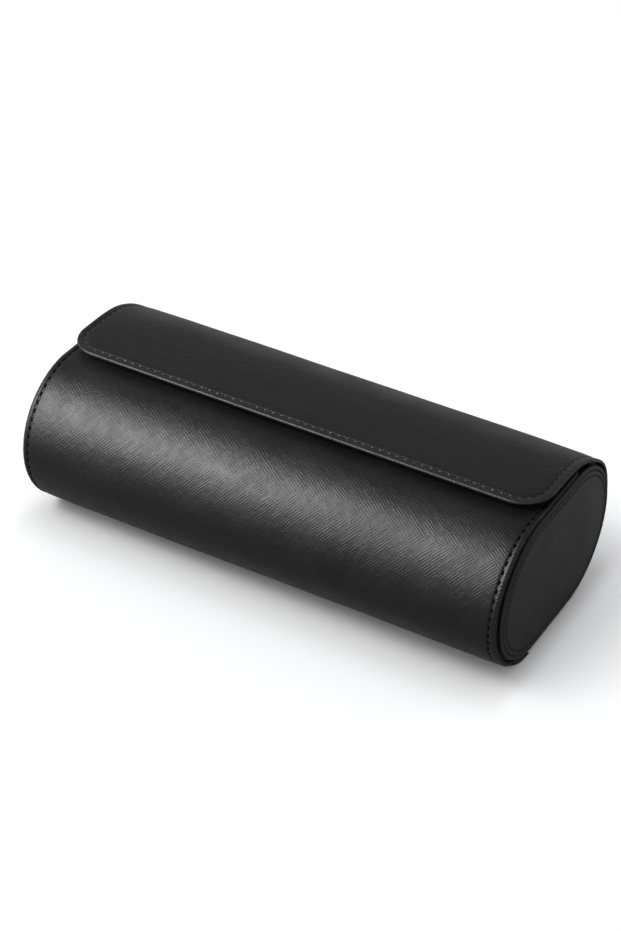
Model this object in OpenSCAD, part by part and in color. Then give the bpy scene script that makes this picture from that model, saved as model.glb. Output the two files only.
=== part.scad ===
// Rolled travel case for three wristwatches.
// A stiff oval tray with padded ends stands inside a wrap of leatherette over greyboard.
// The wrap's front panel rises over the tray, and a flap comes over it from the back.
// X runs along the case, the front faces -Y, Z is up. The origin is the middle of the base.
// Every curved sheet is a stack of layers, counted inwards from the outer skin.

/* [Case] */
// Length of the wrap along X
case_l = 200; // [170:1:250]
// Depth of the closed case, front to back
case_w = 92.4; // [88:0.2:110]
// Height of the closed case over the flap
case_h = 65.4; // [62:0.2:72]

/* [Sheets] */
// Thickness of the leatherette skin
cover_t = 0.8; // [0.6:0.1:1.2]
// Thickness of the suede lining
lining_t = 0.6; // [0.4:0.1:1]
// Thickness of the board in the front panel
front_board_t = 1; // [0.8:0.1:1.4]
// Thickness of the board in the flap
flap_board_t = 1.2; // [1.1:0.1:1.6]
// Thickness of the board in the base and the back
base_board_t = 1.2; // [0.8:0.1:1.6]
// Width of the turned skin left showing round the linings
lining_inset = 3; // [1.5:0.5:8]
// How far the back's lining runs down behind the tray's wall
back_lining_lap = 12; // [4:1:20]

/* [Flap] */
// Depth covered by the flap, from the back of the case
flap_depth = 63.2; // [58:0.2:70]
// Radius of the flap's front corners
flap_corner_r = 13; // [6:0.5:24]
// Room between the flap and the front panel under it
flap_gap = 1.6; // [1:0.1:3]
// Angle of the flap's soft fold above the middle of the back roll
flap_fold_angle = 26; // [20:1:36]
// Width of the flap's soft fold, along the skin
flap_fold_w = 12.5; // [10:0.5:15]

/* [Front panel] */
// Distance of the front panel's free edge from the back of the case
front_edge_in = 27.2; // [25:0.2:34]
// Radius of the front panel's corners under the flap
front_corner_r = 8; // [4:0.5:16]
// Angle of the front panel's soft fold below the middle of the front roll
front_fold_angle = 55; // [48:1:62]
// Width of the front panel's soft fold, along the skin
front_fold_w = 7.5; // [6:0.5:10]
// Seam left open between a soft fold and the panel that it carries
fold_seam = 0.2; // [0.1:0.1:0.4]
// How far the base's skin stops short of the front panel's at each end
base_inset = 0.8; // [0:0.1:2]

/* [Tray] */
// Thickness of the board in the tray's floor and walls
tray_board_t = 1.6; // [1.2:0.1:2.4]
// Height of the tray's front and back walls above the table
wall_h = 39.6; // [34:0.2:46]
// Room between the tray and the front panel over it
tray_gap_top = 0.6; // [0.5:0.1:1.5]
// Room between the tray's ends and the front panel before them
tray_gap_side = 2.2; // [2.2:0.1:4]
// Thickness of the end boards
end_board_t = 2.4; // [1.6:0.1:4]
// How far the end boards lie inside the ends of the wrap
end_board_in = 0.4; // [0:0.1:2]
// Room between the wrap's ends and the end panels that lap over them
end_lap_gap = 0.2; // [0.1:0.05:0.5]
// Thickness of an end panel's padding over the lap
end_pad_t = 1.6; // [1.3:0.1:4]
// Radius of the padding's outer edge
end_pad_edge_r = 1.2; // [0.6:0.1:1.3]
// Width of the bead round the end padding
rim_w = 1.6; // [1.2:0.1:2.4]
// Height of the bead round the end padding
rim_h = 1.2; // [1.2:0.1:3]
// How far an end panel's top lies under the front panel's top
end_top_in = 1.6; // [1:0.1:3]
// How far an end panel's front edge lies inside the case's front
end_front_in = 4.5; // [3:0.1:6]
// How far an end panel's back edge lies inside the case's back
end_back_in = 2.1; // [1.5:0.1:4]
// Height of an end panel's lower edge above the table
end_foot = 2.4; // [1:0.1:4]
// Thickness of the board in a divider
divider_t = 1.8; // [1.2:0.1:3]
// Height of the dividers above the table
divider_h = 46; // [40:0.5:50]
// Depth of the finger scoop in a divider's top
scoop_d = 6; // [2:0.5:9]
// Width of the finger scoop in a divider's top
scoop_w = 50; // [36:1:56]

/* [Watch pillows] */
// Width of a pillow's oval, front to back
pillow_w = 62; // [54:0.5:66]
// Height of a pillow's oval
pillow_h = 40; // [34:0.5:42]
// Room between a pillow's end and its cell wall
pillow_end_gap = 3.2; // [1:0.1:6]
// Room under a pillow
pillow_floor_gap = 0.3; // [0.2:0.1:1]
// Thickness of a pillow's suede sleeve
sleeve_t = 1; // [0.6:0.1:2]
// Radius of the edge round a pillow's ends
pillow_edge_r = 4; // [2:0.5:8]

/* [Closure] */
// Diameter of a magnet and of its keeper plate
magnet_d = 12; // [8:0.5:16]
// Thickness of a magnet
magnet_t = 1; // [0.6:0.1:1]
// Thickness of a keeper plate
keeper_t = 0.6; // [0.4:0.1:0.7]
// Distance of the magnets from the middle of the case
magnet_x = 62; // [40:1:75]
// Distance of the magnets' centres behind the front of the flat stretch where the sheets overlap
magnet_edge = 8.6; // [8.4:0.2:16]
// Room round a magnet or keeper plate in its pocket
pocket_gap = 0.2; // [0.1:0.1:0.5]

/* [Hidden] */
$fn = 128;
// Cutting solids run this far past the face that they cut
past = 1;

half_l = case_l / 2;
flap_t = cover_t + flap_board_t + lining_t;
front_t = cover_t + front_board_t + lining_t;
base_t = cover_t + base_board_t;

// The section has a round back as high as the case, and a lower round front under the flap
front_h = case_h - flap_t - flap_gap;
back_r = case_h / 2;
front_r = front_h / 2;
back_c = [case_w / 2 - back_r, back_r];
front_c = [front_r - case_w / 2, front_r];
flap_front_y = case_w / 2 - flap_depth;
front_tip_y = case_w / 2 - front_edge_in;

// Angles at which the rigid sheets stop on each side of a soft fold
flap_fold_half = flap_fold_w / 2 / back_r * 180 / PI;
back_end_a = flap_fold_angle - flap_fold_half;
flap_from_a = flap_fold_angle + flap_fold_half;
front_fold_half = front_fold_w / 2 / front_r * 180 / PI;
front_from_a = 180 + front_fold_angle - front_fold_half;
heel_a = 180 + front_fold_angle + front_fold_half;
fold_seam_a = fold_seam / front_r * 180 / PI;
// The back is lined from behind the tray's wall upwards
back_lining_a = asin((wall_h - back_lining_lap - back_r) / back_r);

// The tray's outline is a slot shape that stands on the base and clears the front panel
tray_top = front_h - front_t - tray_gap_top;
tray_r = (tray_top - base_t) / 2;
tray_cz = (tray_top + base_t) / 2;
tray_cy = case_w / 2 - front_t - tray_gap_side - tray_r;
tray_in = tray_board_t + lining_t;
wall_a = asin((wall_h - tray_cz) / tray_r);
tray_x = half_l - end_board_in - end_board_t;
end_x = tray_x + end_board_t;

// The end panels are a larger slot shape that laps over the ends of the wrap
lap_x = half_l + end_lap_gap;
panel_r = (front_h - end_top_in - end_foot) / 2;
panel_cz = end_foot + panel_r;
panel_cy = (case_w - end_front_in - end_back_in) / 2 - panel_r;
panel_y = (end_front_in - end_back_in) / 2;

// Three cells of one length between the end linings
cell_wall_t = divider_t + 2 * lining_t;
cell_l = (2 * (tray_x - lining_t) - 2 * cell_wall_t) / 3;
divider_x = (cell_l + cell_wall_t) / 2;
cell_pitch = cell_l + cell_wall_t;
scoop_r = (scoop_w * scoop_w / 4 + scoop_d * scoop_d) / (2 * scoop_d);

pillow_l = cell_l - 2 * pillow_end_gap;
pillow_r = pillow_h / 2;
pillow_span = (pillow_w - pillow_h) / 2;
pillow_cz = base_t + tray_in + pillow_floor_gap + pillow_r;
sleeve_l = pillow_l - 2 * pillow_edge_r;

// Flap and front panel lie flat over each other from here backwards
flat_y = max(flap_front_y + cover_t, front_c[0]);
magnet_y = flat_y + magnet_edge;

black_hide = [0.13, 0.13, 0.14];
edge_grey = [0.35, 0.35, 0.36];
board_grey = [0.5, 0.47, 0.43];
suede_grey = [0.25, 0.25, 0.26];
foam_white = [0.85, 0.84, 0.8];
nickel = [0.75, 0.75, 0.77];
steel = [0.6, 0.61, 0.63];

// ---------- Shared forms ----------

// Runs a section drawn in Y and Z along X, from x0 to x1
module along_x(x0, x1) {
    translate([x0, 0, 0])
        rotate([90, 0, 90])
            linear_extrude(x1 - x0)
                children();
}

// Runs a section along X between two ends that lie at the same distance from the middle
module both_ways(reach) {
    along_x(-reach, reach)
        children();
}

// Wedge from the centre of a roll, between two angles and past its skin
module wedge(r, a0, a1) {
    steps = 6;
    polygon(concat(
        [[0, 0]],
        [for (i = [0:steps]) let (a = a0 + (a1 - a0) * i / steps) 2 * r * [cos(a), sin(a)]]
    ));
}

// Curved strip of a roll, between the depths d0 and d1 under its skin
module arc_strip(centre, r, d0, d1, a0, a1) {
    translate(centre)
        intersection() {
            difference() {
                circle(r - d0);
                circle(r - d1);
            }
            wedge(r, a0, a1);
        }
}

// Flat strip in the section, from y0 to y1 and from z0 to z1
module flat_strip(y0, y1, z0, z1) {
    translate([y0, z0])
        square([y1 - y0, z1 - z0]);
}

// Slot shape of the tray's section, drawn in by an inset
module tray_outline(inset) {
    for (side = [-1, 1])
        translate([side * tray_cy, tray_cz])
            circle(tray_r - inset);
    flat_strip(-tray_cy, tray_cy, base_t + inset, tray_top - inset);
}

// Sweeps a profile round a slot shape. The profile's x is the distance from the slot's
// spine, its y stands along the axis of the slot, which is Z here.
module slot_sweep(span) {
    for (side = [0, 1])
        mirror([side, 0, 0])
            translate([span, 0, 0])
                rotate([0, 0, -90])
                    rotate_extrude(angle = 180)
                        children();
    for (side = [0, 1])
        mirror([0, side, 0])
            translate([-span, 0, 0])
                rotate([90, 0, 90])
                    linear_extrude(2 * span)
                        children();
}

// Half profile of a pad with a rounded outer edge, which may be as high as the pad
module pad_profile(r, t, edge_r) {
    square([r - edge_r, t]);
    if (t > edge_r)
        translate([r - edge_r, 0])
            square([edge_r, t - edge_r]);
    translate([r - edge_r, t - edge_r])
        intersection() {
            circle(edge_r);
            square(edge_r);
        }
}

// Turns a form that stands along Z so that it stands along X at the height given
module face_x(x, z) {
    translate([x, 0, z])
        rotate([90, 0, 90])
            children();
}

// ---------- Sections of the wrap ----------

// Flap: flat over the top, rolled down the back to its soft fold
module flap_section(d0, d1, extra_a = 0) {
    arc_strip(back_c, back_r, d0, d1, flap_from_a - extra_a, 90);
    flat_strip(flap_front_y - past, back_c[0], case_h - d1, case_h - d0);
}

// Front panel: rolled up the front from its soft fold, then flat over the tray
module front_section(d0, d1, extra_a = 0) {
    arc_strip(front_c, front_r, d0, d1, 90, front_from_a + extra_a);
    flat_strip(front_c[0], front_tip_y + past, front_h - d1, front_h - d0);
}

// Heel: the foot of the front panel's roll, glued to the base under the soft fold
module heel_section(d0, d1, extra_a = 0) {
    arc_strip(front_c, front_r, d0, d1, heel_a - extra_a, 270 + extra_a);
}

// Base: flat from the heel to the back roll
module base_section(d0, d1, extra_y = 0) {
    flat_strip(front_c[0] - extra_y, back_c[0] + extra_y, d0, d1);
}

// Back: rolled up from the base to the flap's soft fold
module back_section(d0, d1, a0 = -90, extra_a = 0) {
    arc_strip(back_c, back_r, d0, d1, a0, back_end_a + extra_a);
}

// Plan of the flap, with round front corners
module flap_plan(inset) {
    reach = half_l - inset;
    y0 = flap_front_y + inset;
    r = flap_corner_r - inset;
    translate([-reach, y0 + r])
        square([2 * reach, case_w / 2 + past - y0 - r]);
    translate([r - reach, y0])
        square([2 * (reach - r), r]);
    for (side = [-1, 1])
        translate([side * (reach - r), y0 + r])
            circle(r);
}

// Plan of the front panel, with round corners at the edge that lies under the flap
module front_plan(inset) {
    reach = half_l - inset;
    y1 = front_tip_y - inset;
    r = front_corner_r - inset;
    translate([-reach, -case_w / 2 - past])
        square([2 * reach, y1 - r + case_w / 2 + past]);
    translate([r - reach, y1 - r])
        square([2 * (reach - r), r]);
    for (side = [-1, 1])
        translate([side * (reach - r), y1 - r])
            circle(r);
}

// One layer of the flap, cut to its plan
module flap_layer(d0, d1, inset, extra_a = 0) {
    intersection() {
        both_ways(half_l + past)
            flap_section(d0, d1, extra_a);
        translate([0, 0, -past])
            linear_extrude(case_h + 2 * past)
                flap_plan(inset);
    }
}

// One layer of the front panel, cut to its plan
module front_layer(d0, d1, inset, extra_a = 0) {
    intersection() {
        both_ways(half_l + past)
            front_section(d0, d1, extra_a);
        translate([0, 0, -past])
            linear_extrude(case_h + 2 * past)
                front_plan(inset);
    }
}

// Discs at the two magnet places, from z0 up
module at_magnets(d, z0, t) {
    for (side = [-1, 1])
        translate([side * magnet_x, magnet_y, z0])
            cylinder(d = d, h = t);
}

// ---------- Base and back of the wrap ----------

module base_board() {
    color(board_grey)
        both_ways(half_l - base_inset - cover_t)
            base_section(cover_t, base_t);
}

// The skin is turned up round the board's two ends
module base_cover() {
    color(black_hide)
        difference() {
            both_ways(half_l - base_inset)
                base_section(0, base_t);
            both_ways(half_l - base_inset - cover_t)
                base_section(cover_t, base_t + past, past);
        }
}

module heel_board() {
    color(board_grey)
        both_ways(half_l - cover_t)
            heel_section(cover_t, base_t);
}

module heel_cover() {
    color(black_hide)
        difference() {
            both_ways(half_l)
                heel_section(0, base_t);
            both_ways(half_l - cover_t)
                heel_section(cover_t, base_t + past, 1);
        }
}

module back_board() {
    color(board_grey)
        both_ways(half_l - cover_t)
            back_section(cover_t, base_t);
}

module back_cover() {
    color(black_hide)
        difference() {
            both_ways(half_l)
                back_section(0, base_t);
            both_ways(half_l - cover_t)
                back_section(cover_t, base_t + past, -90, 1);
        }
}

module back_lining() {
    color(suede_grey)
        both_ways(half_l - lining_inset)
            back_section(base_t, base_t + lining_t, back_lining_a);
}

// ---------- Soft folds ----------

module flap_fold() {
    color(black_hide)
        both_ways(half_l)
            arc_strip(back_c, back_r, 0, cover_t + lining_t, back_end_a, flap_from_a - fold_seam_a);
}

module front_fold() {
    color(black_hide)
        both_ways(half_l)
            arc_strip(front_c, front_r, 0, cover_t + lining_t, front_from_a + fold_seam_a, heel_a);
}

// ---------- Tray ----------

module tray_floor() {
    color(board_grey)
        both_ways(tray_x)
            flat_strip(-tray_cy, tray_cy, base_t, base_t + tray_board_t);
}

module floor_lining() {
    color(suede_grey)
        both_ways(tray_x)
            flat_strip(-tray_cy, tray_cy, base_t + tray_board_t, base_t + tray_in);
}

// Section of the tray's back wall between two depths, from the floor up to the wall's top
module tray_wall_section(d0, d1) {
    arc_strip([tray_cy, tray_cz], tray_r, d0, d1, -90, wall_a);
}

module tray_back_wall() {
    color(board_grey)
        both_ways(tray_x)
            tray_wall_section(0, tray_board_t);
}

module back_wall_lining() {
    color(suede_grey)
        both_ways(tray_x)
            tray_wall_section(tray_board_t, tray_in);
}

module tray_front_wall() {
    mirror([0, 1, 0])
        tray_back_wall();
}

module front_wall_lining() {
    mirror([0, 1, 0])
        back_wall_lining();
}

// Round beads of skin that cap the tops of the walls and their linings
module wall_beads() {
    mid_r = tray_r - tray_in / 2;
    for (side = [0, 1])
        mirror([0, side, 0])
            color(black_hide)
                both_ways(tray_x)
                    translate([tray_cy, tray_cz])
                        intersection() {
                            translate(mid_r * [cos(wall_a), sin(wall_a)])
                                circle(tray_in / 2);
                            wedge(tray_r, wall_a, wall_a + 90);
                        }
}

// Outline of a divider: the inside of the tray, cut off level with a finger scoop
module divider_outline() {
    difference() {
        intersection() {
            tray_outline(tray_in);
            flat_strip(-case_w / 2, case_w / 2, 0, divider_h);
        }
        translate([0, divider_h - scoop_d + scoop_r])
            circle(scoop_r);
    }
}

module divider_right() {
    color(board_grey)
        along_x(divider_x - divider_t / 2, divider_x + divider_t / 2)
            divider_outline();
}

module divider_left() {
    mirror([1, 0, 0])
        divider_right();
}

module divider_linings_right() {
    color(suede_grey) {
        along_x(divider_x - cell_wall_t / 2, divider_x - divider_t / 2)
            divider_outline();
        along_x(divider_x + divider_t / 2, divider_x + cell_wall_t / 2)
            divider_outline();
    }
}

module divider_linings_left() {
    mirror([1, 0, 0])
        divider_linings_right();
}

// ---------- Ends of the tray ----------

module end_board_right() {
    color(board_grey)
        along_x(tray_x, end_x)
            tray_outline(0);
}

module end_board_left() {
    mirror([1, 0, 0])
        end_board_right();
}

module end_lining_right() {
    color(suede_grey)
        along_x(tray_x - lining_t, tray_x)
            tray_outline(tray_in);
}

module end_lining_left() {
    mirror([1, 0, 0])
        end_lining_right();
}

// Sweeps a profile round the end panel's outline, from the lap outwards
module panel_sweep() {
    translate([0, panel_y, 0])
        face_x(lap_x, panel_cz)
            slot_sweep(panel_cy)
                children();
}

// Foam pad under leatherette, with a round edge inside the bead. Its foot stands on the end board
module end_pad_right() {
    color(black_hide) {
        along_x(end_x, lap_x)
            tray_outline(0);
        panel_sweep()
            pad_profile(panel_r - rim_w, end_pad_t, end_pad_edge_r);
    }
}

module end_pad_left() {
    mirror([1, 0, 0])
        end_pad_right();
}

// Round-topped bead that runs along the edge of the end panel
module end_rim_right() {
    color(edge_grey)
        panel_sweep()
            translate([panel_r - rim_w / 2, 0]) {
                translate([-rim_w / 2, 0])
                    square([rim_w, rim_h - rim_w / 2]);
                translate([0, rim_h - rim_w / 2])
                    intersection() {
                        circle(rim_w / 2);
                        translate([-rim_w / 2, 0])
                            square([rim_w, rim_w / 2]);
                    }
            }
}

module end_rim_left() {
    mirror([1, 0, 0])
        end_rim_right();
}

// ---------- Flap ----------

// The skin is turned in round the board's free edges
module flap_cover() {
    color(black_hide)
        difference() {
            flap_layer(0, cover_t + flap_board_t, 0);
            flap_layer(cover_t, flap_t + past, cover_t, 1);
        }
}

module flap_board() {
    inner_z = case_h - cover_t - flap_board_t;
    color(board_grey)
        difference() {
            flap_layer(cover_t, cover_t + flap_board_t, cover_t);
            at_magnets(magnet_d + 2 * pocket_gap, inner_z - past, magnet_t + past);
        }
}

module flap_lining() {
    color(suede_grey)
        flap_layer(cover_t + flap_board_t, flap_t, lining_inset);
}

module flap_magnets() {
    color(nickel)
        at_magnets(magnet_d, case_h - cover_t - flap_board_t, magnet_t);
}

// ---------- Front panel ----------

module front_cover() {
    color(black_hide)
        difference() {
            front_layer(0, cover_t + front_board_t, 0);
            front_layer(cover_t, front_t + past, cover_t, 1);
        }
}

module front_board() {
    keeper_z = front_h - cover_t - keeper_t;
    color(board_grey)
        difference() {
            front_layer(cover_t, cover_t + front_board_t, cover_t);
            at_magnets(magnet_d + 2 * pocket_gap, keeper_z, keeper_t + past);
        }
}

module front_lining() {
    color(suede_grey)
        front_layer(cover_t + front_board_t, front_t, lining_inset);
}

module front_keepers() {
    color(steel)
        at_magnets(magnet_d, front_h - cover_t - keeper_t, keeper_t);
}

// ---------- Watch pillows ----------

// Places a pillow's piece in the cell on one side: -1, 0 or 1
module in_cell(side) {
    translate([side * cell_pitch, 0, 0])
        children();
}

module pillow_core(side) {
    color(foam_white)
        in_cell(side)
            face_x(-sleeve_l / 2, pillow_cz)
                slot_sweep(pillow_span)
                    square([pillow_r - sleeve_t, sleeve_l]);
}

module pillow_sleeve(side) {
    color(suede_grey)
        in_cell(side)
            face_x(-sleeve_l / 2, pillow_cz)
                slot_sweep(pillow_span)
                    translate([pillow_r - sleeve_t, 0])
                        square([sleeve_t, sleeve_l]);
}

module pillow_ends(side) {
    color(suede_grey)
        in_cell(side)
            for (turn = [0, 1])
                mirror([turn, 0, 0])
                    face_x(sleeve_l / 2, pillow_cz)
                        slot_sweep(pillow_span)
                            pad_profile(pillow_r, pillow_edge_r, pillow_edge_r);
}

base_board();
base_cover();
heel_board();
heel_cover();
back_board();
back_cover();
back_lining();
flap_fold();
tray_floor();
tray_front_wall();
tray_back_wall();
floor_lining();
front_wall_lining();
back_wall_lining();
wall_beads();
divider_left();
divider_right();
divider_linings_left();
divider_linings_right();
end_board_left();
end_board_right();
end_lining_left();
end_lining_right();
end_pad_left();
end_pad_right();
end_rim_left();
end_rim_right();
flap_cover();
flap_board();
flap_lining();
flap_magnets();
front_cover();
front_board();
front_lining();
front_keepers();
front_fold();
pillow_core(-1);  // pillow_core_left
pillow_core(0);  // pillow_core_middle
pillow_core(1);  // pillow_core_right
pillow_sleeve(-1);  // pillow_sleeve_left
pillow_sleeve(0);  // pillow_sleeve_middle
pillow_sleeve(1);  // pillow_sleeve_right
pillow_ends(-1);  // pillow_ends_left
pillow_ends(0);  // pillow_ends_middle
pillow_ends(1);  // pillow_ends_right
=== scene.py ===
"""Looks of a watch travel case: a padded tray in a rolled leatherette wrap with a magnetic flap.

Every length in the shape functions is in millimetres, and becomes metres where a mesh is made.
"""

import bpy
import numpy as np
from bpy.props import FloatProperty, FloatVectorProperty, IntProperty, PointerProperty
from mathutils import Matrix, Vector


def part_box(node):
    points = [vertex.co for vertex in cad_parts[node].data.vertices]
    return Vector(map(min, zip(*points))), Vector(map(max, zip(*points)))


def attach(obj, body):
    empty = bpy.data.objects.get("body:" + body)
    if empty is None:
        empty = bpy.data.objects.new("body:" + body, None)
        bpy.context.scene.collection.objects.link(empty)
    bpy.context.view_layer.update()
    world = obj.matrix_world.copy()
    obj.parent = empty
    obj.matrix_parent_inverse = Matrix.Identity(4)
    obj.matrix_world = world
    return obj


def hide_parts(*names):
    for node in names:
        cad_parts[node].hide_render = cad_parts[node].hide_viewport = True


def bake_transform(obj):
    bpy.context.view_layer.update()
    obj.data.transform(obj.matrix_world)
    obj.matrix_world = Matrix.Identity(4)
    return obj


bl_info = {
    "name": "Watch travel case",
    "version": (1, 0, 0),
    "blender": (4, 5, 0),
    "location": "View3D > Sidebar > Watch case",
    "description": "Builds the skins, linings, pads, seams and pillows of a rolled watch case round its packed frame",
    "category": "Object",
}

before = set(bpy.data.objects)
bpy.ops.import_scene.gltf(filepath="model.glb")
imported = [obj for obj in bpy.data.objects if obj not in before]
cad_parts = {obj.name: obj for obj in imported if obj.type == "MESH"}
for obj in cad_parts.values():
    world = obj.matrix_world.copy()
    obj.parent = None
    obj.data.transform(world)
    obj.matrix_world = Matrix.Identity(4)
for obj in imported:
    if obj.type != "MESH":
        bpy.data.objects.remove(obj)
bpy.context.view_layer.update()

MM = 0.001


def corner_mm(node, which, axis):
    """One coordinate of a node's lowest (0) or highest (1) corner, in millimetres."""
    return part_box(node)[which][axis] / MM


# ---------- The section, as the frame has it (millimetres, Y and Z) ----------

HALF_L = corner_mm("flap_cover", 1, 0)
CASE_H = corner_mm("flap_cover", 1, 2)
FRONT_H = corner_mm("front_cover", 1, 2)
BACK_Y = corner_mm("back_cover", 1, 1)
FLAP_Y = corner_mm("flap_cover", 0, 1)
LIP_Y = corner_mm("front_cover", 1, 1)
# Radius and centre of the back's roll and of the front's, and the flat base between them
BACK_R = CASE_H / 2
FRONT_R = FRONT_H / 2
BACK_C = (BACK_Y - BACK_R, BACK_R)
FRONT_C = (FRONT_R - BACK_Y, FRONT_R)
BASE_LEN = BACK_C[0] - FRONT_C[0]
# Depth of skin and board together, behind and in front, and of the skin alone at a fold
BOARD_DEPTH = 2.0
FRONT_DEPTH = 1.8
FOLD_DEPTH = 0.8
# Room that the front panel's rim keeps to the tray and to the end panels
RIM_FREE = 0.3
# How far the soft wrap stands past the frame's ends up the back, at the flap and in front
BACK_OVER = 0.3
FLAP_OVER = 0.8
FRONT_OVER = 0.8
# How far the flap's rounded edge ends short of the frame's, and the linings short of the skins
FLAP_SHORT = 0.9
LINING_INSET = 3.0
# Angles round the rolls in degrees: the foot of the back's lining, and the two sides of each fold
BACK_LINING_A = -8.97
FLAP_FOLD_A = (15.05, 36.95)
FRONT_FOLD_A = (227.98, 242.02)
# Corner radii of the flap, of the front panel's lining and of its skin
FLAP_CORNER = 13.0
LIP_CORNER = 8.0
LIP_TURN = 4.5
# Outline of the tray: radius, half the distance between the two centres, their height, and its board
TRAY_R = 28.1
TRAY_CY = 13.5
TRAY_CZ = 30.1
TRAY_IN = 2.2
# The end panels: the two faces that they start from, and their outline
END_X = corner_mm("end_board_right", 1, 0)
LAP_X = corner_mm("end_rim_right", 0, 0)
PANEL_R = (corner_mm("end_rim_right", 1, 2) - corner_mm("end_rim_right", 0, 2)) / 2
PANEL_CZ = corner_mm("end_rim_right", 0, 2) + PANEL_R
PANEL_CY = (corner_mm("end_rim_right", 1, 1) - corner_mm("end_rim_right", 0, 1)) / 2 - PANEL_R
PANEL_Y = (corner_mm("end_rim_right", 1, 1) + corner_mm("end_rim_right", 0, 1)) / 2
# The hidden magnets: X from the middle, Y, and radius
MAGNET = (62.0, -7.0, 6.0)

BACK_PATH = (
    ("line", (FRONT_C[0], 0.0), (1.0, 0.0), BASE_LEN),
    ("arc", BACK_C, BACK_R, -90.0, 180.0),
    ("line", (BACK_C[0], CASE_H), (-1.0, 0.0), BACK_C[0] - FLAP_Y),
)
FRONT_PATH = (
    ("arc", FRONT_C, FRONT_R, 270.0, -180.0),
    ("line", (FRONT_C[0], FRONT_H), (1.0, 0.0), LIP_Y - FRONT_C[0]),
)


def part_length(part):
    """Length of a line, or radius times angle of an arc."""
    return part[3] if part[0] == "line" else part[2] * abs(np.radians(part[4]))


def path_length(path):
    """Sum of the lengths of a path's parts."""
    return sum(part_length(part) for part in path)


def along(path, s, depth):
    """Y and Z of the points that lie at arc length s along a path of lines and arcs, moved inwards by
    depth. On an arc the angle is the start angle plus the arc length over the radius, and the point is
    the centre plus (radius less depth) times its cosine and sine. On a line it is the start plus s times
    the direction, less depth times the outward normal, which is down for +Y at the foot and up on top."""
    s, depth = np.broadcast_arrays(np.asarray(s, float), np.asarray(depth, float))
    y, z = np.zeros(s.shape), np.zeros(s.shape)
    start = 0.0
    for k, p in enumerate(path):
        on = (s >= start) | (k == 0)
        t = s - start
        if p[0] == "line":
            up = 1.0 if p[1][1] > 1 else -1.0
            py, pz = p[1][0] + p[2][0] * t, p[1][1] - depth * up
        else:
            a = np.radians(p[3]) + np.sign(p[4]) * t / p[2]
            py, pz = p[1][0] + (p[2] - depth) * np.cos(a), p[1][1] + (p[2] - depth) * np.sin(a)
        y, z = np.where(on, py, y), np.where(on, pz, z)
        start += part_length(p)
    return y, z


def back_s(angle):
    """Arc length along the back path at an angle of the back roll."""
    return BASE_LEN + BACK_R * np.radians(angle + 90)


def front_s(angle):
    """Arc length along the front path at an angle of the front roll."""
    return FRONT_R * np.radians(270 - angle)


def ease(x, lo, hi):
    """Smooth step from 0 at lo to 1 at hi: 3t squared less 2t cubed, t clipped to 0..1."""
    t = np.clip((np.asarray(x, float) - lo) / (hi - lo), 0, 1)
    return t * t * (3 - 2 * t)


# ---------- Meshes ----------


def mesh_object(name, co, faces, uv=None, attributes=None):
    """A mesh from points in millimetres and faces as one array per face size. The faces are turned
    outwards: where the sum of the signed volumes under them is negative, all of them are reversed."""
    co = np.asarray(co, float) * MM
    faces = [np.asarray(f, np.int64) for f in faces]
    volume = 0.0
    for f in faces:
        for k in range(1, f.shape[1] - 1):
            volume += np.einsum("ij,ij->i", co[f[:, 0]], np.cross(co[f[:, k]], co[f[:, k + 1]])).sum()
    if volume < 0:
        faces = [f[:, ::-1] for f in faces]
    mesh = bpy.data.meshes.new(name)
    mesh.from_pydata(co.tolist(), [], [row for f in faces for row in f.tolist()])
    if uv is not None:
        corners = np.concatenate([f.ravel() for f in faces])
        layer = mesh.uv_layers.new(name="sheet")
        layer.data.foreach_set("uv", (np.asarray(uv, float)[corners] * MM).ravel())
    for key, value in (attributes or {}).items():
        mesh.attributes.new(key, "FLOAT", "POINT").data.foreach_set("value", np.asarray(value, np.float32))
    mesh.polygons.foreach_set("use_smooth", np.ones(len(mesh.polygons), bool))
    mesh.update()
    thing = bpy.data.objects.new(name, mesh)
    bpy.context.scene.collection.objects.link(thing)
    return thing


def slab(name, plan, profile, place, attributes=None):
    """A closed sheet with shaped edges. plan(inset) gives an n by m grid of flat points, drawn in by the
    inset. The profile is a list of (inset, depth) that runs from the outer face over the edge to the
    inner face: its first and last entries carry the full grids, and the border loops of the others are
    joined one to the next. place(points, inset, depth) puts flat points in space. The sheet's UV map is
    its flat plan, so a grain runs on over every bend."""
    grids = [plan(e) for e, _ in profile]
    n, m = grids[0].shape[:2]
    g = np.arange(n * m).reshape(n, m)
    loop = np.concatenate([g[0, :-1], g[:-1, -1], g[-1, :0:-1], g[:0:-1, 0]])
    flats = [grid.reshape(-1, 2) for grid in grids]
    flats[1:-1] = [flat[loop] for flat in flats[1:-1]]
    counts = [len(flat) for flat in flats]
    flat = np.concatenate(flats)
    inset, depth = (np.repeat([row[k] for row in profile], counts) for k in (0, 1))
    starts = np.cumsum([0, *counts])
    end = starts[-2]
    cells = np.stack([g[:-1, :-1], g[1:, :-1], g[1:, 1:], g[:-1, 1:]], -1).reshape(-1, 4)
    rings = [loop, *(start + np.arange(len(loop)) for start in starts[1:-2]), end + loop]
    # The border loop runs round against the grid's cells, so all faces are wound alike
    faces = [cells, cells[:, ::-1] + end]
    for a, b in zip(rings, rings[1:]):
        faces.append(np.stack([a, np.roll(a, -1), np.roll(b, -1), b], -1))
    extra = attributes(flat, inset, depth) if attributes else None
    return mesh_object(name, place(flat, inset, depth), faces, flat[:, ::-1], extra)


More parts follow.
